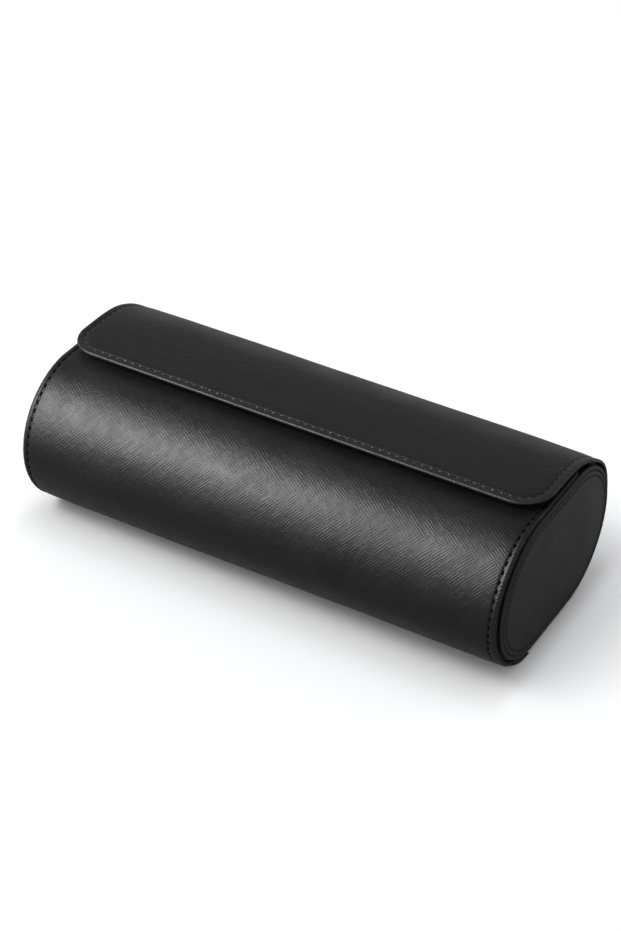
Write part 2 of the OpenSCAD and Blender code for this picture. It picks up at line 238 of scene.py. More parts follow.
def sheet_plan(s0, s1, half, corner, step=1.6, columns=84):
    """Flat plan of a strip that runs from arc length s0 to s1 with two round corners at its far end.
    Up to one corner radius before the end, a row is as wide as the strip. Past that, row k lies at the
    radius times sin f and its half width shrinks to the strip's less the radius times (1 - cos f),
    which is a quarter circle. An inset shrinks the radius and both borders alike, down to 0.05 mm."""
    straight = s1 - corner
    v = np.linspace(0, 1, max(3, int((straight - s0) / step)))
    f = np.radians(np.linspace(0, 90, 13))[1:]
    u = np.linspace(-1, 1, columns)

    def plan(e):
        w = half(v * (straight - s0) + s0) if callable(half) else np.full(len(v), float(half))
        r = max(corner - e, 0.05)
        turn = s1 - e - r
        s = np.concatenate([s0 + e + v * (turn - s0 - e), turn + r * np.sin(f)])
        w = np.concatenate([w - e, w[-1] - e - r + r * np.cos(f)])
        return np.stack([np.repeat(s[:, None], columns, 1), w[:, None] * u], -1)

    return plan


def slot_ring(e, r, span, n_arc=48, n_line=14):
    """Points round a slot shape drawn in by e: half circles of radius r - e about the ends of its spine,
    joined by straight runs. The first point is the tip at -Y, and point k lies over point n - k."""
    a = np.radians(np.linspace(180, 90, n_arc // 2 + 1))
    left = np.stack([-span + (r - e) * np.cos(a), (r - e) * np.sin(a)], -1)
    line = np.stack([np.linspace(-span, span, n_line + 2)[1:-1], np.full(n_line, r - e)], -1)
    upper = np.concatenate([left, line, left[::-1] * (-1, 1)])
    lower = (upper * (1, -1))[-2:0:-1]
    return np.concatenate([upper, lower])


def ring_points(ring, profile, place):
    """The points in space and in the flat of rings drawn in by a profile of (inset, height), and a table
    of the points' numbers with one row for each ring."""
    flat = np.concatenate([ring(e) for e, _ in profile])
    each = len(flat) // len(profile)
    inset, height = (np.repeat([row[k] for row in profile], each) for k in (0, 1))
    return place(flat, inset, height), flat, np.arange(len(flat)).reshape(-1, each)


def ring_slab(name, ring, profile, place):
    """A closed form made of rings one inside the other. The profile is a list of (inset, height) from
    the middle of the outer face over the edge to the middle of the inner face. The first and last rings
    are so narrow that a strip between their two long sides closes them."""
    co, flat, g = ring_points(ring, profile, place)
    walls = np.stack([g[1:], np.roll(g[1:], -1, 1), np.roll(g[:-1], -1, 1), g[:-1]], -1).reshape(-1, 4)
    n, end = g.shape[1], g[-1, 0]
    k = np.arange(1, n // 2 - 1)
    strip = np.stack([k, n - k, n - k - 1, k + 1], -1)
    tips = np.array([[0, n - 1, 1], [n // 2 - 1, n // 2 + 1, n // 2]])
    return mesh_object(name, co, [walls, strip[:, ::-1], strip + end, tips[:, ::-1], tips + end], flat)


def ring_band(name, ring, profile, place):
    """A closed bead that runs round a ring: the rings of its profile are joined in a circle."""
    co, flat, g = ring_points(ring, profile, place)
    n = np.roll(g, -1, 1)
    quads = np.stack([g, n, np.roll(n, -1, 0), np.roll(g, -1, 0)], -1).reshape(-1, 4)
    return mesh_object(name, co, [quads], flat)


def threads(name, centres, ways, normals, length, radius, sink):
    """A row of stitches as one mesh. Each is a spindle of five rings with six sides: its radius follows
    the square root of 1 - t squared along its length, and it sinks by a share of its radius."""
    t = np.array([-1.0, -0.82, 0.0, 0.82, 1.0])
    r = np.array([0.25, 0.72, 1.0, 0.72, 0.25]) * radius
    dip = -radius * (1.1 * t**4) - sink * radius
    a = np.radians(np.arange(0, 360, 60))
    side = np.cross(ways, normals)
    co = (
        centres[:, None, None]
        + ways[:, None, None] * (t * length / 2)[None, :, None, None]
        + normals[:, None, None] * (dip[:, None] + r[:, None] * np.sin(a))[None, :, :, None]
        + side[:, None, None] * (r[:, None] * np.cos(a))[None, :, :, None]
    )
    g = np.arange(30).reshape(5, 6)
    quads = np.stack([g[:-1], np.roll(g[:-1], -1, 1), np.roll(g[1:], -1, 1), g[1:]], -1).reshape(-1, 4)
    caps = np.array([g[0, [0, 3, 2, 1]], g[0, [0, 5, 4, 3]], g[4, [0, 1, 2, 3]], g[4, [0, 3, 4, 5]]])
    each = 30 * np.arange(len(centres))[:, None, None]
    return mesh_object(name, co.reshape(-1, 3), [(np.concatenate([quads, caps])[None] + each).reshape(-1, 4)])


def hole_shades(name, centres, ways, normals, length, width):
    """A row of dark caps that paint the shade inside needle holes, as one mesh. Each is a low oval cap with
    eight sides: a rim 0.06 mm under the skin, a ring of seven tenths of its size 0.03 mm above it, and a middle
    point that dips again. A foot point 0.2 mm down closes it."""
    a = np.radians(np.arange(0, 360, 45))[None, :, None]
    side = np.cross(ways, normals)
    oval = ways[:, None] * np.cos(a) * (length / 2) + side[:, None] * np.sin(a) * (width / 2)
    up, centre = normals[:, None], centres[:, None]
    co = np.concatenate([centre + oval - 0.06 * up, centre + 0.7 * oval + 0.03 * up, centre - 0.2 * up, centre], 1)
    k = np.arange(8)
    n = np.roll(k, -1)
    wall = np.stack([k, n, n + 8, k + 8], -1)
    fans = np.concatenate([np.stack([k + 8, n + 8, np.full(8, 17)], -1), np.stack([n, k, np.full(8, 16)], -1)])
    each = 18 * np.arange(len(centres))[:, None, None]
    faces = [(part[None] + each).reshape(-1, part.shape[1]) for part in (wall, fans)]
    return mesh_object(name, co.reshape(-1, 3), faces)


def unit(vectors):
    """Vectors of length 1."""
    return vectors / np.linalg.norm(vectors, axis=1, keepdims=True)


def evenly(line, pitch, closed=False, shift=0.5):
    """Points and directions at one pitch along a polyline, by linear interpolation of arc length. The
    pitch is stretched to fit a whole number, and the first point lies shift pitches in."""
    if closed:
        line = np.concatenate([line, line[:1]])
    run = np.concatenate([[0], np.cumsum(np.linalg.norm(np.diff(line, axis=0), axis=1))])
    count = int(run[-1] / pitch)
    at = (np.arange(count) + shift) * run[-1] / count
    step = pitch * 0.2

    def pick(q):
        return np.stack([np.interp(q, run, line[:, k]) for k in range(line.shape[1])], -1)

    way = pick(np.minimum(at + step, run[-1])) - pick(np.maximum(at - step, 0))
    return pick(at), unit(way)


# ---------- Materials ----------

# Real emboss lines are 0.8 mm apart; 0.95 mm is the finest that shows at the photograph's size
HATCH_PITCH = 0.95
# A wave texture of scale k repeats every 0.314 / k metres
WAVE = 0.314


def linear(hex_colour):
    """Linear RGBA of an sRGB hex value."""
    c = np.array([int(hex_colour[k : k + 2], 16) for k in (0, 2, 4)]) / 255
    c = np.where(c <= 0.04045, c / 12.92, ((c + 0.055) / 1.055) ** 2.4)
    return (*c.tolist(), 1.0)


def add(tree, kind, settings=None, links=None):
    """Adds a node, sets its own settings and its inputs' values, and links inputs to other nodes'
    outputs. An input is named by its name or number, and a link is a (node, output) pair."""
    made = tree.nodes.new(kind)
    for key, value in (settings or {}).items():
        if isinstance(key, str) and hasattr(made, key):
            setattr(made, key, value)
        else:
            made.inputs[key].default_value = value
    for key, (source, output) in (links or {}).items():
        tree.links.new(source.outputs[output], made.inputs[key])
    return made


def new_material(name, make, *values):
    """A material with one Principled shader. The maker adds the nodes that feed it, and returns the
    shader's settings and links."""
    material = bpy.data.materials.new(name)
    material.use_nodes = True
    tree = material.node_tree
    tree.nodes.clear()
    shader = add(tree, "ShaderNodeBsdfPrincipled", *make(tree, *values))
    add(tree, "ShaderNodeOutputMaterial", None, {"Surface": (shader, "BSDF")})
    return material


def hatch(tree, source, angle, seed):
    """One of the two sets of an emboss: ridges HATCH_PITCH apart that run at an angle in the sheet, wander
    a little and fade in and out in patches of 2.3 by 6 mm. Returns the height of the ridges, 0 to 1."""
    turned = add(
        tree,
        "ShaderNodeMapping",
        {"vector_type": "POINT", "Rotation": (0, 0, -np.radians(angle + 90)), "Location": (seed, seed, 0)},
        {"Vector": source},
    )
    wander = {"Distortion": 2.0, "Detail": 2.0, "Detail Scale": 1.0}
    ridges = add(
        tree,
        "ShaderNodeTexWave",
        {"bands_direction": "X", "wave_profile": "SIN", "Scale": WAVE / (HATCH_PITCH * MM), **wander},
        {"Vector": (turned, 0)},
    )
    drawn = add(
        tree,
        "ShaderNodeMapping",
        {"Scale": (0.43 / MM, 0.17 / MM, 1.0), "Location": (3 + seed * 40, seed * 90, 0)},
        {"Vector": (turned, 0)},
    )
    flat = {"noise_dimensions": "2D", "Scale": 1.0, "Detail": 2.0}
    patches = add(tree, "ShaderNodeTexNoise", flat, {"Vector": (drawn, 0)})
    fade = {"interpolation_type": "SMOOTHSTEP", "From Min": 0.38, "From Max": 0.6}
    there = add(tree, "ShaderNodeMapRange", fade, {"Value": (patches, 0)})
    return add(tree, "ShaderNodeMath", {"operation": "MULTIPLY"}, {0: (ridges, "Fac"), 1: (there, 0)})


def saffiano(tree, tint, strength):
    """PVC leatherette with a crossed hatch rolled in hot: hard fine ridges with dull tops, in two sets."""
    sheet = (add(tree, "ShaderNodeUVMap", {"uv_map": "sheet"}), "UV")
    # The two sets cross at 83 degrees over pores of about 1 mm, 0.12 mm deep in all
    one, two = hatch(tree, sheet, 50, 0.0), hatch(tree, sheet, -33, 0.31)
    ridge = add(tree, "ShaderNodeMath", {"operation": "ADD"}, {0: (one, 0), 1: (two, 0)})
    pores = add(tree, "ShaderNodeTexNoise", {"Scale": 0.9 / MM, "Detail": 3.0}, {"Vector": sheet})
    height = add(tree, "ShaderNodeMath", {"operation": "MULTIPLY_ADD", 1: 0.5}, {0: (pores, 0), 2: (ridge, 0)})
    bump = add(tree, "ShaderNodeBump", {"Strength": strength, "Distance": 0.12 * MM}, {"Height": (height, 0)})
    # Handling polishes broad patches a little: 15 mm clouds in the gloss
    cloud = add(tree, "ShaderNodeTexNoise", {"Scale": 0.065 / MM, "Detail": 3.0}, {"Vector": sheet})
    spread = {"From Min": 0.35, "From Max": 0.65, "To Min": 0.43, "To Max": 0.51}
    dull = add(tree, "ShaderNodeMapRange", spread, {"Value": (cloud, 0)})
    # Rubbed edges show paler, in flecks of 2 to 3 mm, partly real wear and partly a painted highlight where the
    # edge's grain catches the light: the attribute that carries both is highest on a turned edge
    wear = add(tree, "ShaderNodeAttribute", {"attribute_name": "wear"})
    fleck = add(tree, "ShaderNodeTexNoise", {"Scale": 0.42 / MM, "Detail": 3.0}, {"Vector": sheet})
    spread = {"From Min": 0.3, "From Max": 0.75, "To Min": 0.25, "To Max": 1.0}
    rub_and_glint = add(tree, "ShaderNodeMapRange", spread, {"Value": (fleck, 0)})
    amount = add(tree, "ShaderNodeMath", {"operation": "MULTIPLY"}, {0: (wear, "Fac"), 1: (rub_and_glint, 0)})
    colour = add(tree, "ShaderNodeMix", {"data_type": "RGBA", 6: tint, 7: linear("6A6A6C")}, {0: (amount, 0)})
    settings = {"Base Color": tint, "Roughness": 0.5, "Specular IOR Level": 0.16}
    return settings, {"Base Color": (colour, 2), "Roughness": (dull, 0), "Normal": (bump, 0)}


def smooth_leatherette(tree, tint):
    """PU leatherette with a fine pebble grain of about 0.6 mm, soft and even in gloss."""
    place = (add(tree, "ShaderNodeTexCoord"), "Object")
    grain = {"feature": "SMOOTH_F1", "Scale": 1.6 / MM, "Smoothness": 0.6}
    pebble = add(tree, "ShaderNodeTexVoronoi", grain, {"Vector": place})
    bump = add(tree, "ShaderNodeBump", {"Strength": 0.25, "Distance": 0.06 * MM}, {"Height": (pebble, "Distance")})
    cloud = add(tree, "ShaderNodeTexNoise", {"Scale": 0.06 / MM, "Detail": 3.0}, {"Vector": place})
    spread = {"From Min": 0.35, "From Max": 0.65, "To Min": 0.53, "To Max": 0.58}
    dull = add(tree, "ShaderNodeMapRange", spread, {"Value": (cloud, 0)})
    settings = {"Base Color": tint, "Roughness": 0.55, "Specular IOR Level": 0.29}
    return settings, {"Roughness": (dull, 0), "Normal": (bump, 0)}


def suede(tree, tint, pale):
    """Microfibre suede: a short nap that shows paler where it is brushed over, with a soft sheen."""
    place = (add(tree, "ShaderNodeTexCoord"), "Object")
    # Brushed patches of about 18 mm, and a nap that is drawn 0.7 mm coarse so that it shows
    patch = {"Scale": 0.055 / MM, "Detail": 4.0, "Distortion": 0.6}
    brushed = add(tree, "ShaderNodeTexNoise", patch, {"Vector": place})
    nap = add(tree, "ShaderNodeTexNoise", {"Scale": 1.4 / MM, "Detail": 3.0}, {"Vector": place})
    both = add(tree, "ShaderNodeMath", {"operation": "MULTIPLY_ADD", 1: 0.45}, {0: (nap, 0), 2: (brushed, 0)})
    spread = add(tree, "ShaderNodeMapRange", {"From Min": 0.5, "From Max": 0.95}, {"Value": (both, 0)})
    colour = add(tree, "ShaderNodeMix", {"data_type": "RGBA", 6: tint, 7: pale}, {0: (spread, 0)})
    bump = add(tree, "ShaderNodeBump", {"Strength": 0.35, "Distance": 0.12 * MM}, {"Height": (nap, 0)})
    sheen = {"Sheen Weight": 0.35, "Sheen Roughness": 0.45}
    settings = {"Base Color": tint, "Roughness": 0.92, "Specular IOR Level": 0.15, **sheen}
    return settings, {"Base Color": (colour, 2), "Normal": (bump, 0)}


def thread_finish(tree, tint):
    """Twisted polyester thread with a silky gloss, and its twist as slanted bands 0.45 mm apart."""
    place = (add(tree, "ShaderNodeTexCoord"), "Object")
    twist = add(tree, "ShaderNodeTexWave", {"bands_direction": "DIAGONAL", "Scale": 0.7 / MM}, {"Vector": place})
    bump = add(tree, "ShaderNodeBump", {"Strength": 0.4, "Distance": 0.08 * MM}, {"Height": (twist, "Fac")})
    return {"Base Color": tint, "Roughness": 0.42, "Specular IOR Level": 0.5}, {"Normal": (bump, 0)}


def hole_shade_finish(tree):
    """Painted shade of a needle hole: near black and dead matt, standing for the shade inside it, with fuzz of a
    third of a millimetre.
    """
    place = (add(tree, "ShaderNodeTexCoord"), "Object")
    fuzz = add(tree, "ShaderNodeTexNoise", {"Scale": 3 / MM}, {"Vector": place})
    bump = add(tree, "ShaderNodeBump", {"Strength": 0.3, "Distance": 0.05 * MM}, {"Height": (fuzz, 0)})
    return {"Base Color": linear("050505"), "Roughness": 1.0, "Specular IOR Level": 0.02}, {"Normal": (bump, 0)}


def board(tree, tint, fleck_tint):
    """Solid board wrapped in black book paper: matt, with a faint fibre fleck of about 1 mm."""
    place = (add(tree, "ShaderNodeTexCoord"), "Object")
    fuzz = {"Scale": 0.9 / MM, "Detail": 5.0, "Distortion": 1.5}
    fibre = add(tree, "ShaderNodeTexNoise", fuzz, {"Vector": place})
    spread = add(tree, "ShaderNodeMapRange", {"From Min": 0.45, "From Max": 0.8}, {"Value": (fibre, 0)})
    colour = add(tree, "ShaderNodeMix", {"data_type": "RGBA", 6: tint, 7: fleck_tint}, {0: (spread, 0)})
    bump = add(tree, "ShaderNodeBump", {"Strength": 0.3, "Distance": 0.05 * MM}, {"Height": (fibre, 0)})
    settings = {"Base Color": tint, "Roughness": 0.8, "Specular IOR Level": 0.3}
    return settings, {"Base Color": (colour, 2), "Normal": (bump, 0)}


def plated(tree, tint, rough):
    """Plated or rolled steel: a metal whose drawing lines, 0.17 mm apart, stretch its gloss."""
    place = (add(tree, "ShaderNodeTexCoord"), "Object")
    lines = add(tree, "ShaderNodeMapping", {"Scale": (0.3 / MM, 6 / MM, 0.3 / MM)}, {"Vector": place})
    drawn = add(tree, "ShaderNodeTexNoise", {"Scale": 1.0, "Detail": 2.0}, {"Vector": (lines, 0)})
    gloss = add(tree, "ShaderNodeMapRange", {"To Min": rough - 0.06, "To Max": rough + 0.12}, {"Value": (drawn, 0)})
    return {"Base Color": tint, "Metallic": 1.0, "Roughness": rough}, {"Roughness": (gloss, 0)}


def foam(tree, tint):
    """Open-cell polyurethane foam with cells of about half a millimetre."""
    place = (add(tree, "ShaderNodeTexCoord"), "Object")
    cells = add(tree, "ShaderNodeTexVoronoi", {"Scale": 1.8 / MM}, {"Vector": place})
    bump = add(tree, "ShaderNodeBump", {"Strength": 0.6, "Distance": 0.2 * MM}, {"Height": (cells, "Distance")})
    return {"Base Color": tint, "Roughness": 0.95, "Specular IOR Level": 0.2}, {"Normal": (bump, 0)}


def finish(kind, colours):
    """The material of a kind of surface, made the first time that it is asked for."""
    name, make, *values = {
        "hide": ("cross_embossed_leatherette", saffiano, tuple(colours.hide), 0.36),
        "plain hide": ("fine_grained_leatherette", smooth_leatherette, tuple(colours.hide)),
        "thread": ("twisted_polyester_thread", thread_finish, tuple(colours.thread)),
        "hole": ("raw_needle_hole", hole_shade_finish),
        "lining": ("microfibre_suede_lining", suede, tuple(colours.lining), linear("4C4C50")),
        "pillow": ("microfibre_suede_pillow", suede, tuple(colours.pillow), linear("5C5B5D")),
        "board": ("black_papered_board", board, linear("232324"), linear("333335")),
        "foam": ("open_cell_foam", foam, linear("D9D7CC")),
        "nickel": ("bright_nickel_plate", plated, linear("C9C8C4"), 0.25),
        "steel": ("cold_rolled_steel", plated, linear("A9ABAE"), 0.4),
    }[kind]
    return bpy.data.materials.get(name) or new_material(name, make, *values)


def cover(thing, kind, colours):
    """Gives a piece or a node its one material. Returns it."""
    thing.data.materials.clear()
    thing.data.materials.append(finish(kind, colours))
    return thing


# ---------- Properties ----------


def size_in_mm(name, description, default, low, high):
    """A length that a user can change, given in millimetres and kept in metres."""
    default, low, high = default * MM, low * MM, high * MM
    return FloatProperty(
        name=name, description=description, default=default, min=low, max=high, subtype="DISTANCE", unit="LENGTH"
    )


def colour_of(name, description, hex_colour):
    """A colour that a user can change, given as sRGB hex and kept linear."""
    default = linear(hex_colour)
    return FloatVectorProperty(
        name=name, description=description, size=4, subtype="COLOR", min=0, max=1, default=default
    )


class WatchCaseSizes(bpy.types.PropertyGroup):
    """Sizes of the soft and sewn details."""

    edge_radius: size_in_mm("Flap edge", "Radius of the flap's turned edge", 0.7, 0.3, 1.0)
    front_radius: size_in_mm("Front edge", "Radius of the front panel's rolled edge", 1.3, 0.5, 1.5)
    stitch_inset: size_in_mm("Flap stitch inset", "From the flap's edge to its stitch row", 3.0, 2.0, 6.0)
    front_inset: size_in_mm("Front stitch inset", "From the front panel's edge to its stitch row", 2.4, 2.0, 6.0)
    stitch_pitch: size_in_mm("Stitch pitch", "Distance from one stitch to the next", 3.44, 2.0, 6.0)
    front_rim: size_in_mm(
        "Front rim", "Thickness of the front panel's turned rim, where there is room", 3.2, 1.8, 3.4
    )
    flap_rim: size_in_mm("Flap rim", "Thickness of the flap's skived rim", 1.3, 1.2, 2.6)
    thread_radius: size_in_mm("Thread radius", "Radius of the sewing thread", 0.32, 0.1, 0.6)
    groove: size_in_mm("Seam groove", "How deep a stitch row pulls the skin down", 0.35, 0.0, 0.6)
    pad_crown: size_in_mm("End pad crown", "How far an end pad's middle stands above its edge", 0.7, 0.0, 2.0)
    pillow_voxel: size_in_mm("Pillow mesh", "Cells in which a pillow's cloth is worked out", 4.0, 3.0, 6.0)
    pillow_frames: IntProperty(
        name="Pillow frames", description="Steps for which the pillow's cloth settles", default=20, min=5, max=40
    )


class WatchCaseColours(bpy.types.PropertyGroup):
    """Colours of the skins, threads and linings."""

    hide: colour_of("Leatherette", "Black leatherette of the wrap and the ends", "101011")
    thread: colour_of("Thread", "Sewing thread", "2E2E30")
    lining: colour_of("Lining", "Suede lining of the tray, flap and panel", "2E2E31")
    pillow: colour_of("Pillow", "Suede of the watch pillows", "39393B")


def settings_of(context):
    """The sizes and the colours that a step reads."""
    return context.scene.watch_case_sizes, context.scene.watch_case_colours


# ---------- The wrap ----------

# Over this length on each side of a fold, a sheet goes over from board to bare skin
FOLD_EASE = 1.5
NO_FOLD = (-9.0, -8.0)


def folded(s, fold):
    """1 between the two sides of a fold and 0 outside them, eased over FOLD_EASE."""
    return ease(s, fold[0] - FOLD_EASE, fold[0]) * (1 - ease(s, fold[1], fold[1] + FOLD_EASE))


def sheet_place(path, face_shape):
    """Puts a sheet's flat points in space: X is the second flat coordinate, and Y and Z follow the path
    at the first. face_shape(s, x, inset, depth) gives the depth of the point, which it may change."""

    def place(flat, inset, depth):
        y, z = along(path, flat[:, 0], face_shape(flat[:, 0], flat[:, 1], inset, depth))
        return np.stack([flat[:, 1], y, z], -1)

    return place


def edge_profile(thick, r, q, groove_at):
    """Insets and depths from 9 mm inside the outer face, over a round edge, to the inner face. The outer
    corner is a quarter circle of radius r and the inner one of radius q, and between the edge and the
    stitch groove the skin stands as a low round bead."""
    t = np.radians(np.linspace(0, 90, 7))
    outer = [(e, 0.0) for e in (9.0, 7.0, 5.2, groove_at + 1.2)]
    outer += [(groove_at + e, 0.0) for e in (0.8, 0.55, 0.3, 0.1, -0.1, -0.3, -0.55)]
    over = [(r - r * np.sin(a), r - r * np.cos(a)) for a in t if r - r * np.sin(a) < groove_at - 0.7]
    under = [(q - q * np.cos(a), thick - q + q * np.sin(a)) for a in t[::2]]
    inner = [(e, thick) for e in (1.2, 2.4, 2.9, 3.3, 7.0, 9.0)]
    return outer + over + under + inner


def skin_shape(deep, groove_at, fold, thick, corners, puff, rim, droop, foot):
    """Depth of a sheet's outer and inner faces. The stitch row pulls the outer face down by a bell curve
    of the distance from the row, 0.5 mm wide. Inside the row the padding lifts the face by puff within
    5 mm, and slow waves 0.06 mm high run over it. Neither shows where the sheet lies on the table, up to
    arc length foot. Within 2.4 mm of the border the sheet is as thick as rim(s) says, and from 2.9 mm as
    thick as its board. Where the rim is thinner than its two round corners, both shrink alike. At the
    fold the sheet is only as thick as its skin."""
    turned = corners[0] + 0.05

    def shape(s, x, inset, depth):
        row = np.exp(-(((inset - groove_at) / 0.5) ** 2))
        lift = puff * ease(inset, groove_at, groove_at + 5)
        wave = 0.06 * np.sin(x / 11.0 + 0.05 * s) * np.sin(s / 9.0 + x / 37.0) * ease(inset, 3, 9)
        tight = np.minimum(1, rim(s) / (sum(corners) + 0.05))
        face = depth * tight + deep * row + (wave - lift) * ease(s, foot, foot + 9)
        thin = folded(s, fold)
        inside = depth * (1 - thin) + np.minimum(depth, FOLD_DEPTH) * thin
        edge = 1 - ease(inset, 2.4, 2.9)
        back = inside * (1 - edge) + (rim(s) - (thick - depth) * tight) * edge
        return np.where(depth < turned, face, back) + droop(s, x)

    return shape


def edge_wear_and_highlight(flat, inset, depth):
    """Wear and painted highlight of a turned edge's outer corner: a fifth, fading out from 0.2 to 0.9 mm in from the
    edge.
    """
    return {"wear": 0.2 * (1 - ease(inset, 0.2, 0.9)) * (depth < 1.0)}


def stitch_row(name, plan, path, settings, inset, droop, first=0.0, sink=0.35, hole=(0.36, 0.8, 0.0)):
    """Stitches along the border of a plan past arc length first, drawn in by the inset and laid in the
    groove, with a dark cap of painted shade at the needle hole between each and the next. A cap is given by its
    share of the pitch, its width and its height over the foot of the groove. Returns the two pieces."""
    sizes, colours = settings
    grid = plan(inset)
    line = np.concatenate([grid[:-1, 0], grid[-1, :], grid[-2::-1, -1]])
    pitch, depth, reach = sizes.stitch_pitch / MM, sizes.groove / MM, 0.5
    share, width, rise = hole

    def spot(p, d):
        y, z = along(path, p[:, 0], d + droop(p[:, 0], p[:, 1]))
        return np.stack([p[:, 1], y, z], -1)

    def laid(shift, d):
        at, way = evenly(line, pitch, shift=shift)
        at, way = at[at[:, 0] > first], way[at[:, 0] > first]
        here = spot(at, d)
        ways = spot(at + way * reach, d) - spot(at - way * reach, d)
        return here, unit(ways), unit(here - spot(at, d + 1.0))

    row = threads(
        name + "_stitches", *laid(0.5, depth), pitch * (1.02 - share), sizes.thread_radius / MM, sink
    )
    # Dark caps that paint the shade of the needle holes between the stitches
    hole_shade_caps = hole_shades(name + "_needle_holes", *laid(0.0, depth - rise), pitch * share, width)
    return cover(row, "thread", colours), cover(hole_shade_caps, "hole", colours)


def settle_depth(s, x):
    """How far the soft wrap lies inside the true roll over the top of the back: 1.6 mm at its deepest,
    eased in from 20 to 55 degrees of the back roll and out again from 60 degrees to 10 mm past the top,
    and 0.3 mm more at the two ends, over their last 26 mm."""
    over = ease(s, back_s(20), back_s(55)) * (1 - ease(s, back_s(60), back_s(90) + 10))
    return over * (1.6 + 0.3 * ease(np.abs(x), HALF_L - 26, HALF_L))


def heel_draw(s, x):
    """How far the front panel is drawn in over its heel: 1.15 mm at the right end and nothing at the left,
    eased in from 190 to 225 degrees of the front roll and out again from 236 to 262 degrees."""
    a = 270 - np.degrees(np.asarray(s, float) / FRONT_R)
    return 1.15 * ease(x, -110, 100) * ease(a, 190, 225) * (1 - ease(a, 236, 262))


class OBJECT_OT_watch_case_back_skin(bpy.types.Operator):
    """Skin of the base, the back, the flap's fold and the flap, as one closed sheet with its stitches"""

    bl_idname = "object.watch_case_back_skin"
    bl_label = "Back and flap skin"

    def execute(self, context):
        sizes, colours = settings = settings_of(context)

        def half(s):
            """Half length of the wrap: it grows from base to back and from back to flap."""
            over = BACK_OVER * ease(s, BASE_LEN - 3, BASE_LEN + 3)
            return HALF_L + over + (FLAP_OVER - BACK_OVER) * ease(s, back_s(20), back_s(60))

        def rim(s):
            """Thickness of the border: the board's on the back, and the skived rim's on the flap."""
            return BOARD_DEPTH + (sizes.flap_rim / MM - BOARD_DEPTH) * ease(s, back_s(0), back_s(40))

        plan = sheet_plan(0.15, path_length(BACK_PATH) - FLAP_SHORT, half, FLAP_CORNER)
        fold = [back_s(a) for a in FLAP_FOLD_A]
        inset, groove = sizes.stitch_inset / MM, sizes.groove / MM
        corners = (sizes.edge_radius / MM, 0.4)
        shape = skin_shape(groove, inset, fold, BOARD_DEPTH, corners, 0.15, rim, settle_depth, BASE_LEN)
        profile = edge_profile(BOARD_DEPTH, *corners, inset)
        skin = slab("back_and_flap_skin", plan, profile, sheet_place(BACK_PATH, shape), edge_wear_and_highlight)
        cover(skin, "hide", colours)
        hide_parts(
            "base_cover", "back_cover", "flap_fold", "flap_cover", "base_board", "back_board", "flap_board"
        )
        # The row starts at the foot of the back, and the base has none
        sewn = stitch_row("flap", plan, BACK_PATH, settings, inset, settle_depth, first=back_s(-60))
        for piece in (skin, *sewn):
            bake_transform(piece)
        return {"FINISHED"}


class OBJECT_OT_watch_case_front_skin(bpy.types.Operator):
    """Skin of the heel, the front fold and the front panel, as one closed sheet with its stitches"""

    bl_idname = "object.watch_case_front_skin"
    bl_label = "Front panel skin"

    def execute(self, context):
        sizes, colours = settings = settings_of(context)

        def room(s, radius, y, z):
            """Distance along the roll's radius from its face to an arc of that radius about (y, z): the
            difference of the radii less the offset of the centres along the radius."""
            a = np.radians(np.maximum(270 - np.degrees(s / FRONT_R), 90))
            return FRONT_R - radius - (y - FRONT_C[0]) * np.cos(a) - (z - FRONT_C[1]) * np.sin(a)

        def rim(s):
            """As thick as the room to the tray and to the end panel allows, less RIM_FREE, but at least
            1.45 mm."""
            tray, panel = room(s, TRAY_R, -TRAY_CY, TRAY_CZ), room(s, PANEL_R, PANEL_Y - PANEL_CY, PANEL_CZ)
            free = np.minimum(tray, panel) - heel_draw(s, HALF_L)
            return np.clip(free - RIM_FREE, 1.45, sizes.front_rim / MM)

        plan = sheet_plan(0.15, path_length(FRONT_PATH), HALF_L + FRONT_OVER, LIP_TURN)
        fold = [front_s(a) for a in FRONT_FOLD_A[::-1]]
        inset, groove = sizes.front_inset / MM, sizes.groove / MM
        corners = (sizes.front_radius / MM, 1.2)
        shape = skin_shape(groove, inset, fold, FRONT_DEPTH, corners, 0.1, rim, heel_draw, 0.0)
        profile = edge_profile(FRONT_DEPTH, *corners, inset)
        skin = slab("front_panel_skin", plan, profile, sheet_place(FRONT_PATH, shape), edge_wear_and_highlight)
        cover(skin, "hide", colours)
        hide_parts("heel_cover", "front_fold", "front_cover", "heel_board", "front_board")
        hole = (0.52, 1.1, 0.2)
        sewn = stitch_row("front_panel", plan, FRONT_PATH, settings, inset, heel_draw, sink=0.9, hole=hole)
        for piece in (skin, *sewn):
            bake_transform(piece)
        return {"FINISHED"}


